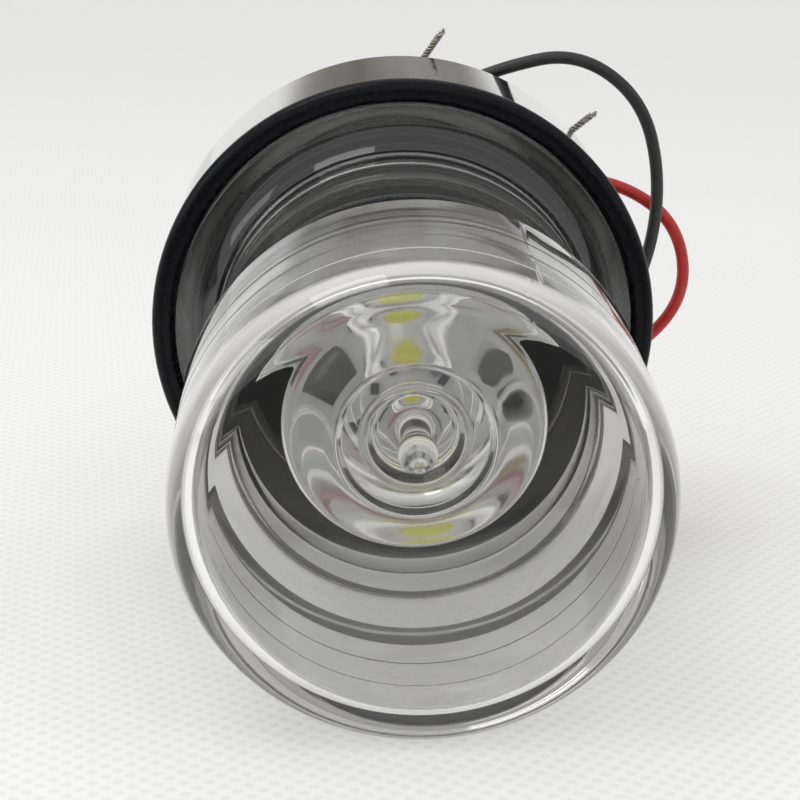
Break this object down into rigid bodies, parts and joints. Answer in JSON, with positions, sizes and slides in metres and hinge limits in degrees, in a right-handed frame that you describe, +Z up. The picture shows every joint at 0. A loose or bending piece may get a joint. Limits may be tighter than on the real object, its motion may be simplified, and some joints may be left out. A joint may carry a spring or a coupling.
{
  "type": "navigation light",
  "caption": "Surface-mount all-round LED navigation light: thick clear jar lens that unscrews from a black collar on a polished steel cup, with bare-ended leads.",
  "frame": {"origin": "centre of the three mounting holes on the mounting face, on the lamp's axis", "axes": "+Y is the mounting face's outward normal, into the panel; the lens points along -Y; +Z is up"},
  "size_m": [0.0689, 0.0927, 0.0621],
  "materials": {
    "clear_lens": "thick clear polycarbonate, polished",
    "clear_optic": "clear moulded acrylic, polished",
    "black_plastic": "black gloss ABS",
    "steel_mirror": "mirror-polished stainless steel",
    "black_rubber": "black soft rubber",
    "dark_film": "slippery dark film",
    "aluminium": "plain",
    "board_white": "white solder mask",
    "led_ceramic": "white ceramic",
    "led_yellow": "yellow phosphor in clear resin",
    "chip_black": "moulded epoxy",
    "resistor_film": "black film on ceramic with tinned ends",
    "capacitor_tan": "tan ceramic with tinned ends",
    "inductor_grey": "blue-grey ferrite",
    "diode_glass": "red-tinted glass barrel",
    "tinned_copper": "twisted tinned strands",
    "solder": "bright solder",
    "brass": "plain",
    "screw_steel": "plain stainless",
    "insulation_black": "black PVC insulation",
    "insulation_red": "red PVC insulation",
    "nylon": "natural nylon"
  },
  "bodies": {
    "base": {"inner_optic": "clear_optic", "black_collar": "black_plastic", "steel_cup": "steel_mirror", "collar_gasket": "black_rubber", "mounting_gasket": "black_rubber", "cable_grommet": "black_rubber", "board_turret": "black_plastic", "heat_disc": "aluminium", "circuit_board": "board_white", "led_package": "led_ceramic", "led_phosphor": "led_yellow", "resistors": "resistor_film", "capacitors": "capacitor_tan", "driver_chip": "chip_black", "power_inductor": "inductor_grey", "glass_diode": "diode_glass", "solder_joints": "solder", "threaded_inserts": "brass", "cup_screws": "screw_steel", "turret_screws": "screw_steel", "board_screws": "screw_steel", "inner_wire_black": "insulation_black", "inner_wire_red": "insulation_red", "wire_tie": "nylon", "lead_black": "insulation_black", "lead_red": "insulation_red", "lead_end_black": "tinned_copper", "lead_end_red": "tinned_copper"},
    "washer": {"slip_washer": "dark_film"},
    "seal": {"lens_seal": "black_rubber"},
    "lens": {"lens_jar": "clear_lens"}
  },
  "joints": [
    {"name": "lens_lift", "type": "slide", "parent": "base", "child": "washer", "axis": [0, -1, 0], "range_m": [0, 0.05]},
    {"name": "lens_rise", "type": "slide", "parent": "washer", "child": "seal", "axis": [0, -1, 0], "range_m": [0, 0.0046]},
    {"name": "lens_turn", "type": "hinge", "parent": "seal", "child": "lens", "pos_m": [0, 0, 0], "axis": [0, -1, 0], "range_deg": [0, 540]}
  ],
  "couplings": [
    {"joint": "lens_rise", "follows": "lens_turn", "m_per_rad": 0.00047746}
  ]
}
